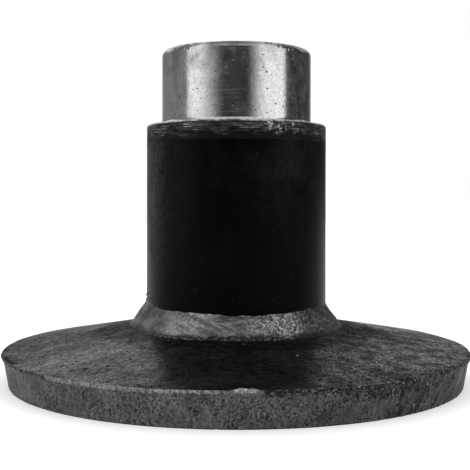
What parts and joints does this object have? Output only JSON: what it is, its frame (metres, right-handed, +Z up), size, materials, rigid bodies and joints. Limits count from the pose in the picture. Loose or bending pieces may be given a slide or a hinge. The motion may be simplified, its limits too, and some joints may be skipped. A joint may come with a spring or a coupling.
{
  "type": "bollard post",
  "caption": "Welded steel bollard post: dished round foot plate, tube and turned spigot for a bollard head, to weld to a deck.",
  "frame": {"origin": "on the post's axis, in the plane of the ground seat ring that the foot plate stands on", "axes": "+Z up along the post; the start of the flame cut in the rim faces -Y"},
  "size_m": [0.2932, 0.2932, 0.208],
  "materials": {
    "plate_scale": "hot rolled steel plate with worn mill scale on its faces and a rough flame-cut rim",
    "tube_scale": "black mill scale, smooth, satin",
    "turned_weld": "turned flush, then dulled and scratched round the post",
    "turned_steel": "bright turned steel with fine lathe lines and a few small pits",
    "weld_metal": "wire-brushed and partly ground weld bead"
  },
  "bodies": {
    "root": {"foot_plate": "plate_scale", "post_tube": "tube_scale", "shoulder_weld": "turned_weld", "spigot_plug": "turned_steel", "foot_weld_root_run": "weld_metal", "foot_weld_lower_run": "weld_metal", "foot_weld_upper_run": "weld_metal", "underside_weld": "weld_metal"}
  },
  "joints": []
}
